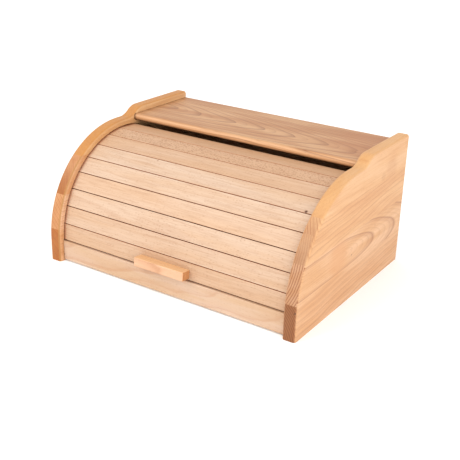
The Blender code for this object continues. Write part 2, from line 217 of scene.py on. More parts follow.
    # ray flecks: spindles about 3 mm long and 0.8 mm wide, in part of the cells only
    cells = addNode(tree, "Mapping", {}, {"Vector": bent, "Scale": (1 / 4.6, 1 / 1.5, 1 / 1.5)})
    ray = addNode(tree, "TexVoronoi", {"feature": "F1"}, {"Vector": cells.outputs["Vector"], "Scale": 1.0})
    inside = addNode(tree, "MapRange", {"interpolation_type": "SMOOTHSTEP"}, {
        "Value": ray.outputs["Distance"], "From Min": 0.42, "From Max": 0.2})
    chosen = addNode(tree, "SeparateColor", {}, {0: ray.outputs["Color"]})
    chosen = addNode(tree, "MapRange", {}, {
        "Value": chosen.outputs[0], "From Min": 0.35, "From Max": 0.95})
    fleck = addNode(tree, "Math", {"operation": "MULTIPLY"}, {
        0: inside.outputs[0], 1: chosen.outputs[0]}).outputs[0]

    # the sawn ends drink more oil and look darker. The edges and their rounded corners can take their own
    # colour too: partly the wood's own edge tone, partly painted light, as in the golden top of the handle
    # and the golden strips along the side panels' inner roundings.
    ends = addNode(tree, "MapRange", {"interpolation_type": "SMOOTHSTEP"}, {
        "Value": facings[0], "From Min": 0.45, "From Max": 0.98}).outputs[0]
    rims = addNode(tree, "MapRange", {"interpolation_type": "SMOOTHSTEP"}, {
        "Value": facings[1], "From Min": 0.95, "From Max": 0.6}).outputs[0]
    rounded = addNode(tree, "MapRange", {"interpolation_type": "SMOOTHSTEP"}, {
        "Value": facings[1], "From Min": 0.12, "From Max": 0.5}).outputs[0]
    rounded = addNode(tree, "Math", {"operation": "MULTIPLY"}, {0: rims, 1: rounded}).outputs[0]

    colour = addNode(tree, "Mix", {"data_type": "RGBA"}, {
        "Factor": cloudiness.outputs[0], 6: linear(look["pale"]), 7: linear(look["warm"])}).outputs[2]
    if look["toneColour"]:
        tone = addNode(tree, "Attribute", {"attribute_name": "tone"})
        share = addNode(tree, "Attribute", {"attribute_name": "flecks"})
        fleck = addNode(tree, "Math", {"operation": "MULTIPLY"}, {
            0: fleck, 1: share.outputs["Fac"]}).outputs[0]
        colour = addNode(tree, "Mix", {"data_type": "RGBA"}, {
            "Factor": tone.outputs["Fac"], 6: colour, 7: linear(look["toneColour"])}).outputs[2]
        # the slat sawn through the rays has rows of dark dots, about 1.3 mm across
        grid = addNode(tree, "Mapping", {}, {"Vector": bent, "Scale": (1 / 2.9, 1 / 2.1, 1 / 2.1)})
        dots = addNode(tree, "TexVoronoi", {"feature": "F1"}, {
            "Vector": grid.outputs["Vector"], "Scale": 1.0})
        dots = addNode(tree, "MapRange", {"interpolation_type": "SMOOTHSTEP"}, {
            "Value": dots.outputs["Distance"], "From Min": 0.44, "From Max": 0.18})
        dotted = addNode(tree, "MapRange", {}, {
            "Value": share.outputs["Fac"], "From Min": 0.6, "From Max": 1.0, "To Max": 0.62})
        dots = addNode(tree, "Math", {"operation": "MULTIPLY"}, {0: dots.outputs[0], 1: dotted.outputs[0]})
        colour = addNode(tree, "Mix", {"data_type": "RGBA"}, {
            "Factor": dots.outputs[0], 6: colour, 7: linear(look["fleckColour"])}).outputs[2]
        # painted shade: the flanks, backs and ends of the slats (wall), and the slat ends near the grooves,
        # are painted darker, so that the joints between slats and the ends in the grooves look shaded
        wall = addNode(tree, "Attribute", {"attribute_name": "wall"})
        side = addNode(tree, "SeparateXYZ", {}, {0: place.outputs["Object"]})
        side = addNode(tree, "Math", {"operation": "ABSOLUTE"}, {0: side.outputs[0]})
        endShade = addNode(tree, "MapRange", {"interpolation_type": "SMOOTHSTEP"}, {
            "Value": side.outputs[0], "From Min": look["endShadeFrom"][0] * mm,
            "From Max": look["endShadeFrom"][1] * mm, "To Max": 0.55})
        paintedShade = addNode(tree, "Math", {"operation": "MAXIMUM"}, {
            0: wall.outputs["Fac"], 1: endShade.outputs[0]})
        colour = addNode(tree, "Mix", {"data_type": "RGBA"}, {
            "Factor": paintedShade.outputs[0], 6: colour, 7: linear(look["flankShadeColour"])}).outputs[2]
    if look["rimStrength"]:
        amount = addNode(tree, "Math", {"operation": "MULTIPLY"}, {0: rims, 1: look["rimStrength"]})
        colour = addNode(tree, "Mix", {"data_type": "RGBA"}, {
            "Factor": amount.outputs[0], 6: colour, 7: linear(look["rimColour"])}).outputs[2]
    # sawn across, the rings stand out more
    contrast = addNode(tree, "Math", {"operation": "MULTIPLY_ADD"}, {
        0: ends, 1: look["endContrast"] - 1, 2: 1.0})
    layers = [
        (ring.outputs["Color"], look["ringStrength"], look["ringColour"], True),
        (line, look["bandStrength"], look["ringColour"], True),
        (fleck, look["fleckStrength"], look["fleckColour"], False),
        (streaks, look["fibreStrength"], look["fleckColour"], False),
    ]
    for mask, strength, tint, rings in layers:
        amount = addNode(tree, "Math", {"operation": "MULTIPLY", "use_clamp": True}, {
            0: mask, 1: strength})
        if rings:
            amount = addNode(tree, "Math", {"operation": "MULTIPLY", "use_clamp": True}, {
                0: amount.outputs[0], 1: contrast.outputs[0]})
        colour = addNode(tree, "Mix", {"data_type": "RGBA"}, {
            "Factor": amount.outputs[0], 6: colour, 7: linear(tint)}).outputs[2]
    colour = addNode(tree, "Mix", {"data_type": "RGBA", "blend_type": "MULTIPLY"}, {
        "Factor": ends, 6: colour, 7: linear(look["endTint"])}).outputs[2]
    if look["cornerStrength"]:
        amount = addNode(tree, "Math", {"operation": "MULTIPLY"}, {0: rounded, 1: look["cornerStrength"]})
        colour = addNode(tree, "Mix", {"data_type": "RGBA"}, {
            "Factor": amount.outputs[0], 6: colour, 7: linear(look["rimColour"])}).outputs[2]
    for spot, size, depth, tint in look["knots"]:
        reach = addNode(tree, "VectorMath", {"operation": "DISTANCE"}, {
            0: place.outputs["Object"], 1: [c * mm for c in spot]})
        mark = addNode(tree, "MapRange", {"interpolation_type": "SMOOTHSTEP"}, {
            "Value": reach.outputs["Value"], "From Min": size * mm, "From Max": size * mm * 0.35,
            "To Max": depth})
        colour = addNode(tree, "Mix", {"data_type": "RGBA"}, {
            "Factor": mark.outputs[0], 6: colour, 7: linear(tint)}).outputs[2]
    tree.links.new(colour, shader.inputs["Base Color"])

    rough = addNode(tree, "MapRange", {}, {
        "Value": fibre.outputs["Fac"], "From Min": 0.3, "From Max": 0.7,
        "To Min": look["gloss"] - 0.05, "To Max": look["gloss"] + 0.08})
    tree.links.new(rough.outputs[0], shader.inputs["Roughness"])
    shader.inputs["IOR"].default_value = 1.5
    shader.inputs["Specular IOR Level"].default_value = 0.4

    # sanding leaves the fibres and rays just readable
    relief = addNode(tree, "Math", {"operation": "SUBTRACT"}, {0: fibre.outputs["Fac"], 1: fleck})
    bump = addNode(tree, "Bump", {}, {"Strength": 0.25, "Distance": 0.04 * mm, "Height": relief.outputs[0]})
    tree.links.new(bump.outputs["Normal"], shader.inputs["Normal"])
    return wood


def newObject(name, bm):
    mesh = bpy.data.meshes.new(name)
    bm.to_mesh(mesh)
    bm.free()
    obj = bpy.data.objects.new(name, mesh)
    bpy.context.scene.collection.objects.link(obj)
    return obj


def outwards(bm):
    bmesh.ops.remove_doubles(bm, verts=bm.verts, dist=0.005 * mm)
    bmesh.ops.recalc_face_normals(bm, faces=bm.faces)


def softEdge(bm, edges, radius, segments):
    bmesh.ops.bevel(bm, geom=list(edges), offset=radius, segments=segments, profile=0.5,
                    affect="EDGES", material=-1)


def boxMesh(low, high):
    low, high = Vector(low), Vector(high)
    bm = bmesh.new()
    bmesh.ops.create_cube(bm, size=1)
    bmesh.ops.scale(bm, vec=high - low, verts=bm.verts)
    bmesh.ops.translate(bm, vec=(low + high) / 2, verts=bm.verts)
    return bm


def carve(piece, cutters):
    # cuts the joinery, then lets the cutters go
    for cutter in cutters:
        modifier = piece.modifiers.new("cut", "BOOLEAN")
        modifier.operation = "DIFFERENCE"
        modifier.solver = "EXACT"
        modifier.object = cutter
    bpy.context.view_layer.update()
    whole = piece.evaluated_get(bpy.context.evaluated_depsgraph_get())
    cut = bpy.data.meshes.new_from_object(whole)
    piece.modifiers.clear()
    piece.data = cut
    for cutter in cutters:
        bpy.data.objects.remove(cutter)


def finishPiece(piece, body, materials, replaced, sharp=32):
    for material in materials:
        piece.data.materials.append(material)
    piece.data.shade_smooth()
    piece.data.set_sharp_from_angle(angle=math.radians(sharp))
    shading = piece.modifiers.new("evenShading", "WEIGHTED_NORMAL")
    shading.keep_sharp = True
    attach(piece, body)
    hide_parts(*replaced)
    return piece


# Side panels: 18 mm boards glued edge to edge, sawn to the curve and rounded over with a router
panel = {
    "rimInside": 4.0 * mm,
    "rimOutside": 3.5 * mm,
    "stepBend": 25 * mm,
    "stepStart": 10 * mm,
    "grooveInner": 123.6 * mm,
    "grooveOuter": 133.0 * mm,
    "grooveDepth": 8 * mm,
    "grooveEnds": (-0.75, 186.3),  # degrees round from the front
    "glueLines": (47 * mm, 94 * mm, 140 * mm),
    "housing": 6.3 * mm,
    "slotAhead": 2.6 * mm,  # the slot of the top board ends this far in front of it
    "rebate": 8.3 * mm,
    "play": 0.3 * mm,
}


def onCircle(x, radius, degrees):
    angle = math.radians(degrees)
    return turnPoint + Vector((x - turnPoint.x, -radius * math.cos(angle), radius * math.sin(angle)))


def panelBlank(side):
    low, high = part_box("left_side_panel" if side < 0 else "right_side_panel")
    inner, outer = (high.x, low.x) if side < 0 else (low.x, high.x)
    rimRadius = turnPoint.y - low.y
    rimTop = turnPoint.z + rimRadius
    rise = high.z - rimTop
    bendTurn = math.acos(1 - rise / 2 / panel["stepBend"])
    bendReach = panel["stepBend"] * math.tan(bendTurn / 2)
    stepY = turnPoint.y + panel["stepStart"]
    ridgeY = stepY + 2 * panel["stepBend"] * math.sin(bendTurn)
    corners = [
        ((low.y, 0), 0, 1),
        ((low.y, rimTop), rimRadius, 56),
        ((stepY + bendReach, rimTop), bendReach, 10),
        ((ridgeY - bendReach, high.z), bendReach, 10),
        ((high.y, high.z), 0, 1),
        ((high.y, 0), 0, 1),
    ]
    bm = bmesh.new()
    verts = [bm.verts.new((inner, y, z)) for (y, z), _, _ in corners]
    bm.faces.new(verts)
    for vert, (_, reach, segments) in zip(verts, corners):
        if reach:
            bmesh.ops.bevel(bm, geom=[vert], offset=reach, segments=segments, profile=0.5,
                            affect="VERTICES", material=-1)
    drawn = bmesh.ops.extrude_face_region(bm, geom=list(bm.faces))
    moved = [g for g in drawn["geom"] if isinstance(g, bmesh.types.BMVert)]
    bmesh.ops.translate(bm, vec=(outer - inner, 0, 0), verts=moved)
    outwards(bm)
    for x, radius, segments in ((inner, panel["rimInside"], 7), (outer, panel["rimOutside"], 5)):
        # the router follows the front and the top, and leaves the back edge square
        rim = [e for e in bm.edges if all(abs(v.co.x - x) < 1e-6 for v in e.verts)
               and any(v.co.z > 1e-6 for v in e.verts) and any(v.co.y < high.y - 1e-6 for v in e.verts)]
        softEdge(bm, rim, radius, segments)
    outwards(bm)
    return bm, inner


def grooveCutter(side, inner):
    start, end = panel["grooveEnds"]
    bm = bmesh.new()
    near, far = inner - side * 2 * mm, inner + side * panel["grooveDepth"]
    corners = [onCircle(x, radius, start) for x, radius in (
        (near, panel["grooveInner"]), (far, panel["grooveInner"]),
        (far, panel["grooveOuter"]), (near, panel["grooveOuter"]))]
    face = bm.faces.new([bm.verts.new(c) for c in corners])
    bmesh.ops.spin(bm, geom=[face], cent=turnPoint, axis=turnAxis, angle=math.radians(end - start),
                   steps=110, use_duplicate=False)
    outwards(bm)
    return newObject("grooveCutter", bm)


def slotCutters(side, inner):
    # the stopped slot of the top board, the slot of the base and the rebate of the back
    play = panel["play"]
    past = 4 * mm
    topLow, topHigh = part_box("top_board")
    baseLow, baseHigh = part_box("base_board")
    backLow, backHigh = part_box("back_panel")
    far = inner + side * panel["housing"]
    spans = [
        (topLow.y - panel["slotAhead"], backHigh.y + past, topLow.z - play, topHigh.z + play, far),
        (baseLow.y - play, backLow.y + 1 * mm, baseLow.z - play, baseHigh.z + play, far),
        (backLow.y - play, backHigh.y + past, -past, topLow.z, inner + side * panel["rebate"]),
    ]
    cutters = []
    for number, (front, back, bottom, top, deep) in enumerate(spans):
        xs = sorted((inner - side * past, deep))
        bm = boxMesh((xs[0], front, bottom), (xs[1], back, top))
        if number == 0:
            nose = [e for e in bm.edges if all(v.co.y < front + 1e-6 for v in e.verts)
                    and abs(e.verts[0].co.x - e.verts[1].co.x) > 1 * mm]
            softEdge(bm, nose, (top - bottom) / 2 * 0.98, 8)
        cutters.append(newObject("slotCutter", bm))
    return cutters


def pegCutters(names, play):
    # holes for the hidden dowels, brads or screws, each cut from its own CAD solid made larger
    cutters = []
    for name in names:
        low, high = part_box(name)
        size, middle = high - low, (low + high) / 2
        longest = max(range(3), key=lambda i: size[i])
        radius = (size.x + size.y + size.z - size[longest]) / 4 + play
        bm = bmesh.new()
        bmesh.ops.create_cone(bm, cap_ends=True, segments=24, radius1=radius, radius2=radius,
                              depth=size[longest] + 2 * play)
        if longest < 2:
            bmesh.ops.rotate(bm, verts=bm.verts, cent=(0, 0, 0),
                             matrix=Matrix.Rotation(math.pi / 2, 3, "YX"[longest]))
        bmesh.ops.translate(bm, vec=middle, verts=bm.verts)
        cutters.append(newObject("pegCutter", bm))
    return cutters


# Each panel is glued from four boards, listed from the foot up. The right panel shows one with
# nested arches whose points lie towards the back, and above it one with straight converging lines.
panelBoards = {
    "right": [
        dict(heart=(-40, 118), lean=(0.02, 0.03), ringWidth=2.9, ringStrength=0.3, bandWidth=5.6,
             bandStrength=0.4, pale="#d5a981", warm="#cc9a6d", endTint="#b59878", endContrast=5.0,
             ringColour="#8a4e29", endHeart=(-30, 100),
             knots=[((192.8, -141.9, 38.4), 1.7, 0.85, "#4a2a18")]),
        dict(heart=(70, 186), lean=(-0.06, -0.18), straightTo=-28, ringWidth=3.0,
             ringStrength=0.26, bandWidth=12.0, bandShift=0.26, bandStrength=0.62, bandFrom=15,
             wander=2.0, pale="#d6ab84", warm="#cb9a6c", endTint="#e8e2e2", endContrast=6.5,
             ringColour="#8a4e29", endHeart=(92, 90),
             knots=[((195, -5, 63), 1.2, 0.9, "#3c2212"), ((195, -42, 72), 34, 0.5, "#c58a57"),
                    ((195, 60.9, 81.7), 1.5, 0.5, "#84502c")]),
        dict(heart=(58, 62), lean=(0.01, 0.03), ringWidth=2.6, ringStrength=0.24, bandWidth=3.4,
             bandStrength=0.46, pale="#d3a577", warm="#ca9768", endTint="#d0c9cc", endContrast=3.6,
             ringColour="#9c5f35", endHeart=(92, 90)),
        dict(heart=(260, 120), lean=(0.05, 0.03), ringWidth=4.2, ringStrength=0.12, bandWidth=17.0,
             bandStrength=0.1, pale="#d4a87d", warm="#cc9a6a", endTint="#d3b184",
             rimColour="#c9965a", rimStrength=0.5,
             knots=[((195, 98, 150), 24, 0.22, "#a96c3e"),
                    ((195, 74, 145), 9, 0.2, "#99602f")]),
    ],
    "left": [
        # on the lower left boards cornerStrength paints the rounded corners in rimColour: painted light, a
        # deeper golden tone standing in for how the inner roundings are lit
        dict(heart=(-60, -250), lean=(0.03, 0.1), ringWidth=3.0, bandWidth=9.0, pale="#d3a379",
             warm="#c99464", endTint="#d0a763", rimColour="#a87742", cornerStrength=0.9),
        dict(heart=(-40, -260), lean=(-0.02, 0.08), ringWidth=2.6, bandWidth=5.2, bandStrength=0.4,
             pale="#daaf8c", warm="#d0a27c", endTint="#e8d2b0", rimColour="#ab7b46", cornerStrength=0.9),
        dict(heart=(0, -290), lean=(0.04, 0.12), ringWidth=2.8, bandWidth=10.0, pale="#cf9d72",
             warm="#c68e5e", endTint="#c59d4e", rimColour="#a87742", cornerStrength=0.9),
        dict(heart=(240, -150), lean=(0.05, 0.04), ringWidth=3.8, ringStrength=0.2, bandWidth=15.0,
             pale="#d7aa78", warm="#cf9d69", endTint="#f4eacc", rimColour="#b87b37", rimStrength=0.85),
    ],
}


def sidePanel(word, side):
    bm, inner = panelBlank(side)
    piece = newObject(word + "Panel", bm)
    node = word + "_side_panel"
    cutters = [grooveCutter(side, inner)] + slotCutters(side, inner)
    cutters += pegCutters([n for n in nodes if n.startswith(word + "_rail_dowel")], panel["play"])
    brads = [f"back_panel_brad_{n}" for n in range(1, 7)]
    cutters += pegCutters([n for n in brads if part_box(n)[0].x * side > 0], panel["play"])
    carve(piece, cutters)
    # part the mesh at the glue lines, so that each board has its own wood
    bm = bmesh.new()
    bm.from_mesh(piece.data)
    for height in panel["glueLines"]:
        bmesh.ops.bisect_plane(bm, geom=bm.verts[:] + bm.edges[:] + bm.faces[:],
                               plane_co=(0, 0, height), plane_no=(0, 0, 1))
    for face in bm.faces:
        face.material_index = sum(face.calc_center_median().z > h for h in panel["glueLines"])
    bm.to_mesh(piece.data)
    bm.free()
    woods = [beech(f"beech {word} panel board {n}", **board)
             for n, board in enumerate(panelBoards[word], 1)]
    finishPiece(piece, "case", woods, [node])


sidePanel("left", -1)
sidePanel("right", 1)
print("side panels glued up, curved and grooved")


# Top board: darker heartwood with a full round along its front edge
topBoard = {"arris": 0.5 * mm, "noseSteps": 10}


def makeTopBoard():
    low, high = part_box("top_board")
    bm = boxMesh(low, high)
    nose = [e for e in bm.edges if all(v.co.y < low.y + 1e-6 for v in e.verts)
            and abs(e.verts[0].co.x - e.verts[1].co.x) > 0.1]
    softEdge(bm, nose, (high.z - low.z) / 2 * 0.99, topBoard["noseSteps"])
    back = [e for e in bm.edges if all(v.co.y > high.y - 1e-6 for v in e.verts)]
    softEdge(bm, back, topBoard["arris"], 2)
    outwards(bm)
    wood = beech(
        "beech heartwood", lies="flat along X", heart=(71, 115.4), lean=(-0.09, -0.08),
        ringWidth=2.075, ringStrength=0.3, bandWidth=4.15, bandShift=0.376, bandStrength=0.75,
        wander=2.2, pale="#c79a6f", warm="#b17d52", ringColour="#7d4c2c", fleckColour="#7d4f34",
        fleckStrength=0.2, rimColour="#d6a67a", rimStrength=0.8, endTint="#b98a68", gloss=0.44,
        # the spot here is no knot but a broad darker patch towards the right end of the board
        knots=[((175, 105, 175), 95, 0.4, "#a3653a")])
    finishPiece(newObject("topBoard", bm), "case", [wood], ["top_board"])


# Front rail: its top slopes down inwards, so that the lowest slat rests on it
rail = {"arris": 0.8 * mm, "slope": 4.78}  # slope in degrees


def makeRail():
    low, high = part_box("front_rail")
    bm = boxMesh(low, high)
    fall = (high.y - low.y) * math.tan(math.radians(rail["slope"]))
    topBack = [v for v in bm.verts if v.co.z > high.z - 1e-6 and v.co.y > high.y - 1e-6]
    bmesh.ops.translate(bm, vec=(0, 0, -fall), verts=topBack)
    front = [e for e in bm.edges if all(v.co.y < low.y + 1e-6 for v in e.verts)]
    softEdge(bm, front, rail["arris"], 4)
    outwards(bm)
    piece = newObject("frontRail", bm)
    baseLow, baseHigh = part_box("base_board")
    play = panel["play"]
    slot = boxMesh((low.x - 0.01, baseLow.y - play, baseLow.z - play),
                   (high.x + 0.01, high.y + 0.01, baseHigh.z + play))
    cutters = [newObject("slotCutter", slot)]
    cutters += pegCutters([n for n in nodes if "_rail_dowel_" in n], play)
    carve(piece, cutters)
    wood = beech("beech front rail", lies="upright along X", heart=(-60, 160),
                 lean=(0.02, 0.03), ringWidth=3.0, bandWidth=9.0, pale="#cbb099", warm="#c4a383",
                 # painted shade: the dark spot at the rail's left end stands for the gap between the rail
                 # and the left panel
                 endTint="#c79a76", knots=[((-176.0, -136.7, 9.9), 2.4, 0.8, "#4a2c1a")])
    finishPiece(piece, "case", [wood], ["front_rail"])


makeTopBoard()
makeRail()
print("top board and front rail done")


# Roll top: slats of equal width on a circle, each a little different in tone and in how it was sawn
slats = {
    "count": 9,
    "radius": 132 * mm,  # out to the lines where neighbouring faces would meet
    "thickness": 7 * mm,
    "halfPitch": 5.38,  # degrees, as are the next two
    "endHalfPitch": 7.2,
    "firstEdge": -0.6,
    "play": 0.3 * mm,
    "outerRound": 0.4 * mm,
    "flare": 0.3 * mm,
    "railGap": 0.9 * mm,  # the lowest slat's front arris stands this far above the rail
    "arris": 0.2 * mm,
    "flankShade": [0.7, 1.0, 0.5, 1.0, 0.6, 0.8, 0.6, 0.5, 0.5],  # how much painted shade each slat's flanks get, which darkens its joint
    # per slat from the rail up: across and deep place of the heart in mm, tone and share of flecks
    "sawn": [(40, 55, 0.42, 0.35), (-60, 70, 0.3, 0.35), (15, 90, 0.22, 0.4), (85, 60, 0.35, 0.3),
             (-35, 120, 0.12, 0.35), (50, 75, 0.12, 0.3), (-90, 50, 0.5, 0.35), (25, 45, 0.72, 1.0),
             (-45, 85, 0.8, 0.45)],
}


def halfPitch(number):
    return slats["endHalfPitch"] if number == slats["count"] else slats["halfPitch"]


def slatAngle(number):
    return slats["firstEdge"] + 2 * slats["halfPitch"] * (number - 1) + halfPitch(number)


def slatFace(number):
    return slats["radius"] * math.cos(math.radians(halfPitch(number)))


def boardAttributes(piece, number, across, deep, tone, flecks, wall):
    # keeps where each point lay in its own board before the board was turned into place
    data = piece.data
    grain = data.attributes.new("grain", "FLOAT_VECTOR", "POINT")
    shift = Vector((number * 0.83, deep * mm, across * mm))
    for point, vert in zip(grain.data, data.vertices):
        point.vector = vert.co + shift
    for label, value in (("tone", tone), ("flecks", flecks)):
        layer = data.attributes.new(label, "FLOAT", "POINT")
        layer.data.foreach_set("value", [value] * len(data.vertices))
    front = min(v.co.y for v in data.vertices)
    # wall marks the flanks, back and ends, which get the painted shade of the joints
    layer = data.attributes.new("wall", "FLOAT", "POINT")
    layer.data.foreach_set("value", [wall * (v.co.y > front + 0.15 * mm) for v in data.vertices])


def turnIntoPlace(piece, number):
    place = Matrix.Translation(turnPoint) @ Matrix.Rotation(math.radians(slatAngle(number)), 4, turnAxis)
    piece.data.transform(place)


def makeSlat(number, wood):
    low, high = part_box(f"slat_{number}")
    face, half = slatFace(number), math.radians(halfPitch(number))
    width = 2 * (face - slats["thickness"]) * math.tan(half) - slats["play"]
    bm = boxMesh((low.x, -face, -width / 2), (high.x, -face + slats["thickness"], width / 2))
    # a little wider at the face than at the cloth, so that the joints look tight
    for vert in bm.verts:
        if vert.co.y < -face + 1e-6:
            onRail = number == 1 and vert.co.z < 0
            vert.co.z += slats["railGap"] if onRail else math.copysign(slats["flare"], vert.co.z)
    outer = [e for e in bm.edges if all(v.co.y < -face + 1e-6 for v in e.verts) and e.calc_length() > 0.1]
    softEdge(bm, outer, slats["outerRound"], 4)
    rest = [e for e in bm.edges if e.calc_length() > 1 * mm and e.calc_face_angle(0) > 1]
    softEdge(bm, rest, slats["arris"], 2)
    outwards(bm)
    piece = newObject(f"slat{number}", bm)
    across, deep, tone, flecks = slats["sawn"][number - 1]
    boardAttributes(piece, number, across, deep, tone, flecks, slats["flankShade"][number - 1])
    turnIntoPlace(piece, number)
    finishPiece(piece, "roll_top", [wood], [f"slat_{number}"])
    return piece


slatWood = beech("beech slats", source="grain", lies="upright along X", heart=(0, 0),
                 lean=(0.0, 0.012), ringWidth=3.0, ringStrength=0.16, bandWidth=9.0, bandStrength=0.12,
                 pale="#cbb29c", warm="#c7a88c", ringColour="#a5734f", fleckColour="#8a5735",
                 fleckStrength=1.0, toneColour="#bf946e", endTint="#cfa27e", fibreStrength=0.22,
                 knots=[((165.2, -78.1, 137.9), 2.7, 0.95, "#502409"),
                        ((-69.3, -61.5, 148.6), 2.0, 0.5, "#80502f")])
slatPieces = [makeSlat(n, slatWood) for n in range(1, slats["count"] + 1)]
print("slats done")

# Handle: a plain bar screwed on from behind
handle = {
    "length": 78 * mm,
    "height": 12.1 * mm,
    "depth": 14 * mm,
    "aside": -3.5 * mm,
    "offset": -2.85 * mm,  # from the middle of the lowest slat
    "round": 1.0 * mm,
}


def makeHandle():
    face = slatFace(1) + slats["play"]
    half = handle["length"] / 2
    middle = handle["offset"]
    bm = boxMesh((handle["aside"] - half, -face - handle["depth"], middle - handle["height"] / 2),
                 (handle["aside"] + half, -face, middle + handle["height"] / 2))
    seen = [e for e in bm.edges if any(v.co.y < -face - 1 * mm for v in e.verts)]
    softEdge(bm, seen, handle["round"], 4)
    outwards(bm)
    piece = newObject("handleBar", bm)
    boardAttributes(piece, 12, 30, 40, 0.5, 0.4, 0.0)
    turnIntoPlace(piece, 1)
    # painted highlight: rimColour paints the handle's top, bottom and ends golden, for how its top face
    # catches the light
    wood = beech("beech handle", source="grain", lies="upright along X", heart=(0, 0),
                 lean=(0.0, 0.03), ringWidth=2.6, bandWidth=7.0, pale="#d9b190", warm="#d3a37f",
                 endTint="#e2cab4", rimColour="#dcae78", rimStrength=0.6)
    finishPiece(piece, "roll_top", [wood], ["handle"])


makeHandle()


# Cloth: plain weave cotton glued across the backs of the slats, bent at each joint between them
cloth = {"width": 340 * mm, "thickness": 0.5 * mm, "columns": 34, "bend": 1.2 * mm, "thread": 0.9 * mm}


def makeCloth():
    bm = bmesh.new()
    inner = slatFace(1) - slats["thickness"] - slats["play"]
    corner = inner / math.cos(math.radians(halfPitch(1)))
    half = cloth["width"] / 2
    ends = [bm.verts.new(onCircle(x, corner, slats["firstEdge"])) for x in (-half, half)]
    edge = bm.edges.new(ends)
    row = bmesh.ops.spin(bm, geom=[edge], cent=turnPoint, axis=turnAxis,
                         angle=math.radians(2 * slats["halfPitch"] * (slats["count"] - 1)),
                         steps=slats["count"] - 1, use_duplicate=False)
    last = [g for g in row["geom_last"] if isinstance(g, bmesh.types.BMEdge)]
    bmesh.ops.spin(bm, geom=last, cent=turnPoint, axis=turnAxis,
                   angle=math.radians(2 * slats["endHalfPitch"]), steps=1, use_duplicate=False)
    bmesh.ops.remove_doubles(bm, verts=bm.verts, dist=0.01 * mm)
    joints = [e for e in bm.edges if len(e.link_faces) == 2]
    softEdge(bm, joints, cloth["bend"], 3)
    lengthwise = [e for e in bm.edges if abs(e.verts[0].co.x - e.verts[1].co.x) > 0.1]
    bmesh.ops.subdivide_edges(bm, edges=lengthwise, cuts=cloth["columns"] - 1, use_grid_fill=True)
    bmesh.ops.recalc_face_normals(bm, faces=bm.faces)
    # the unrolled place of each point, in metres, for the weave
    uv = bm.loops.layers.uv.new("weave")
    for face in bm.faces:
        for loop in face.loops:
            arm = loop.vert.co - turnPoint
            loop[uv].uv = (loop.vert.co.x, math.atan2(arm.z, -arm.y) * inner)
    edgeLine = [e for e in bm.edges if len(e.link_faces) == 1
                and all(v.co.x < -half + 1e-5 for v in e.verts)]
    length = sum(e.calc_length() for e in edgeLine)
    faces = list(bm.faces)
    outward = sum((f.normal.dot(f.calc_center_median() - turnPoint) > 0) for f in faces)
    if outward < len(faces) / 2:
        bmesh.ops.reverse_faces(bm, faces=faces)
    piece = newObject("canvasBacking", bm)
    wall = piece.modifiers.new("thickness", "SOLIDIFY")
    wall.thickness = cloth["thickness"]
    wall.offset = -1
    return piece, length


def clothMaterial():
    # unbleached cotton canvas: matt and slightly hairy, threads 0.9 mm apart (coarser than real to show)
    fabric = bpy.data.materials.new("cotton canvas")
    fabric.use_nodes = True
    tree = fabric.node_tree
    shader = tree.nodes["Principled BSDF"]
    weave = addNode(tree, "UVMap", {"uv_map": "weave"})
    threads = addNode(tree, "Mapping", {}, {
        "Vector": weave.outputs["UV"], "Scale": (1 / cloth["thread"],) * 3})
    parts = addNode(tree, "SeparateXYZ", {}, {0: threads.outputs["Vector"]})
    waves = []
    for axis in (0, 1):
        turned = addNode(tree, "Math", {"operation": "MULTIPLY"}, {0: parts.outputs[axis], 1: math.pi})
        waves.append(addNode(tree, "Math", {"operation": "SINE"}, {0: turned.outputs[0]}).outputs[0])
    over = addNode(tree, "Math", {"operation": "MULTIPLY"}, {0: waves[0], 1: waves[1]})
    height = addNode(tree, "Math", {"operation": "ABSOLUTE"}, {0: over.outputs[0]})
    slub = addNode(tree, "TexNoise", {}, {
        "Vector": threads.outputs["Vector"], "Scale": 0.22, "Detail": 3.0})
    blend = addNode(tree, "Math", {"operation": "MULTIPLY_ADD"}, {
        0: height.outputs[0], 1: 0.55, 2: slub.outputs["Fac"]})
    # painted shade: the low parts of the weave, between the threads, are painted darker; the slub noise is
    # the cotton's own colour
    tint = addNode(tree, "ValToRGB", {"stops": [(0.35, "#a89878"), (1.0, "#e6dcc4")]}, {
        0: blend.outputs[0]})
    tree.links.new(tint.outputs["Color"], shader.inputs["Base Color"])
    bump = addNode(tree, "Bump", {}, {"Strength": 0.6, "Distance": 0.2 * mm, "Height": height.outputs[0]})
    tree.links.new(bump.outputs["Normal"], shader.inputs["Normal"])
    shader.inputs["Roughness"].default_value = 0.9
    shader.inputs["Sheen Weight"].default_value = 0.25
    return fabric


canvasPiece, canvasLength = makeCloth()
canvasPiece.data.materials.append(clothMaterial())
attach(canvasPiece, "roll_top")
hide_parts("canvas_backing")
print("cloth glued on, flat length", round(canvasLength, 4))


# Brads: cut steel wire with a flat round head, driven flush into the back
brad = {"count": 9, "head": 1.5 * mm, "headHeight": 0.8 * mm, "arris": 0.15 * mm, "neck": 0.2 * mm,
        "shank": 0.8 * mm, "point": 2.4 * mm, "steps": 20}


def makeBrad(number, steel):
    node = f"back_panel_brad_{number}"
    low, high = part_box(node)
    x, z = (low.x + high.x) / 2, (low.z + high.z) / 2
    length = high.y - low.y
    profile = [(0, 0), (brad["head"] - brad["arris"], 0), (brad["head"], brad["arris"]),
               (brad["head"], brad["headHeight"]), (brad["shank"], brad["headHeight"] + brad["neck"]),
               (brad["shank"], length - brad["point"]), (0, length)]
    bm = bmesh.new()
    verts = [bm.verts.new((x + r, high.y - depth, z)) for r, depth in profile]
    edges = [bm.edges.new(pair) for pair in zip(verts, verts[1:])]
    bmesh.ops.spin(bm, geom=verts + edges, cent=(x, high.y, z), axis=(0, 1, 0), angle=math.tau,
                   steps=brad["steps"], use_merge=True)
    outwards(bm)
    finishPiece(newObject(f"backBrad{number}", bm), "case", [steel], [node])


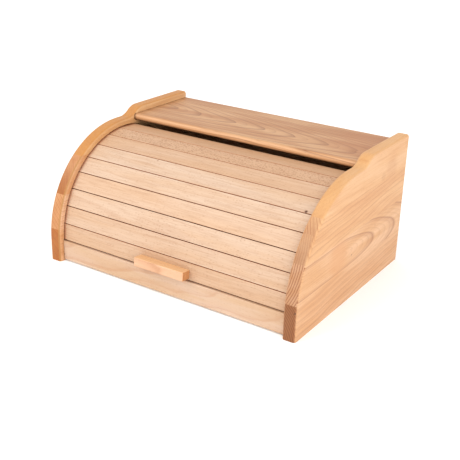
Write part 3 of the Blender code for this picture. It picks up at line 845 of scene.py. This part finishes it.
def steelMaterial():
    # bright drawn steel wire: clean grey metal with fine draw marks
    steel = bpy.data.materials.new("drawn steel")
    steel.use_nodes = True
    tree = steel.node_tree
    shader = tree.nodes["Principled BSDF"]
    place = addNode(tree, "TexCoord")
    marks = addNode(tree, "TexNoise", {}, {
        "Vector": place.outputs["Object"], "Scale": 1 / (0.6 * mm), "Detail": 4.0})
    tint = addNode(tree, "ValToRGB", {"stops": [(0.3, "#9c9a96"), (0.7, "#c4c2be")]}, {
        0: marks.outputs["Fac"]})
    tree.links.new(tint.outputs["Color"], shader.inputs["Base Color"])
    rough = addNode(tree, "MapRange", {}, {"Value": marks.outputs["Fac"], "To Min": 0.22, "To Max": 0.5})
    tree.links.new(rough.outputs[0], shader.inputs["Roughness"])
    shader.inputs["Metallic"].default_value = 1.0
    return steel


steelFinish = steelMaterial()
for bradNumber in range(1, brad["count"] + 1):
    makeBrad(bradNumber, steelFinish)


def repaint(nodeNames, material):
    for nodeName in nodeNames:
        data = nodes[nodeName].data
        data.materials.clear()
        data.materials.append(material)


# Inner boards keep their CAD shapes: flat, square-edged and only sanded
repaint(["base_board"], beech("beech base board", lies="flat along X", heart=(40, -70),
                              lean=(0.03, 0.05), ringWidth=3.4, pale="#cfa682", warm="#c4946c"))
repaint(["back_panel"], beech("beech back panel", lies="upright along X",
                              heart=(85, -195), lean=(-0.03, 0.06), ringWidth=3.8, bandWidth=10.0,
                              bandStrength=0.35, pale="#cfa580", warm="#c4936a"))
repaint([n for n in nodes if "_rail_dowel_" in n],
        beech("beech dowel", lies="flat along X", heart=(0, -25), pale="#c9a37c",
              warm="#bd9166"))
repaint([n for n in nodes if n.startswith("handle_screw")], steelFinish)
print("hidden pieces finished")


# Studio: a pale floor, one large soft light from the front left and a weak fill from the right
studio = {
    "cameraPlace": (0.5975, -0.9025, 0.4778),  # from the roll top's turning point
    "azimuth": 33.12,
    "elevation": 23.17,
    "roll": 1.553,
    "lens": 66.43,
    "sensor": 36,
    "world": 1.0,
    "floorHalf": 12,
    "floorGlow": 0.1,  # keeps the paper white under the soft light
    "lightsAim": (0, 0, 0.08),
    # place, size of the square, power and tint of each light
    "keyLight": ((-1.1, -1.5, 1.7), 1.4, 27.5, "#fffaf2"),
    "fillLight": ((1.8, -0.9, 1.0), 1.6, 22, "#ffffff"),
}


def makeCamera():
    azimuth, elevation = math.radians(studio["azimuth"]), math.radians(studio["elevation"])
    forward = Vector((-math.sin(azimuth) * math.cos(elevation), math.cos(azimuth) * math.cos(elevation),
                      -math.sin(elevation)))
    data = bpy.data.cameras.new("camera")
    data.lens = studio["lens"]
    data.sensor_width = studio["sensor"]
    camera = bpy.data.objects.new("camera", data)
    camera.rotation_mode = "QUATERNION"
    camera.rotation_quaternion = forward.to_track_quat("-Z", "Y") @ Quaternion(
        (0, 0, 1), math.radians(studio["roll"]))
    camera.location = turnPoint + Vector(studio["cameraPlace"])
    bpy.context.scene.collection.objects.link(camera)
    bpy.context.scene.camera = camera


def areaLight(name):
    place, size, power, tint = studio[name]
    data = bpy.data.lights.new(name, "AREA")
    data.shape = "SQUARE"
    data.size = size
    data.energy = power
    data.color = linear(tint)[:3]
    light = bpy.data.objects.new(name, data)
    light.location = place
    aim = Vector(studio["lightsAim"]) - Vector(place)
    light.rotation_euler = aim.to_track_quat("-Z", "Y").to_euler()
    bpy.context.scene.collection.objects.link(light)


def makeStudio():
    bm = bmesh.new()
    bmesh.ops.create_grid(bm, x_segments=1, y_segments=1, size=studio["floorHalf"])
    floor = newObject("floor", bm)
    # a roll of white backdrop paper: matt, almost without mottling, so that it vanishes
    paper = bpy.data.materials.new("white paper sweep")
    paper.use_nodes = True
    tree = paper.node_tree
    shader = tree.nodes["Principled BSDF"]
    place = addNode(tree, "TexCoord")
    mottle = addNode(tree, "TexNoise", {}, {"Vector": place.outputs["Object"], "Scale": 6.0})
    tint = addNode(tree, "ValToRGB", {"stops": [(0.3, "#f6f6f6"), (0.7, "#f9f9f9")]}, {
        0: mottle.outputs["Fac"]})
    tree.links.new(tint.outputs["Color"], shader.inputs["Base Color"])
    shader.inputs["Roughness"].default_value = 0.9
    shader.inputs["Specular IOR Level"].default_value = 0.1
    shader.inputs["Emission Color"].default_value = (1, 1, 1, 1)
    shader.inputs["Emission Strength"].default_value = studio["floorGlow"]
    floor.data.materials.append(paper)
    areaLight("keyLight")
    areaLight("fillLight")
    world = bpy.data.worlds.new("studioWorld")
    world.use_nodes = True
    sky = world.node_tree.nodes["Background"]
    sky.inputs["Color"].default_value = (1, 1, 1, 1)
    sky.inputs["Strength"].default_value = studio["world"]
    bpy.context.scene.world = world
    bpy.context.scene.view_settings.view_transform = "Standard"


makeCamera()
makeStudio()
print("camera and lights set")

bpy.context.view_layer.update()
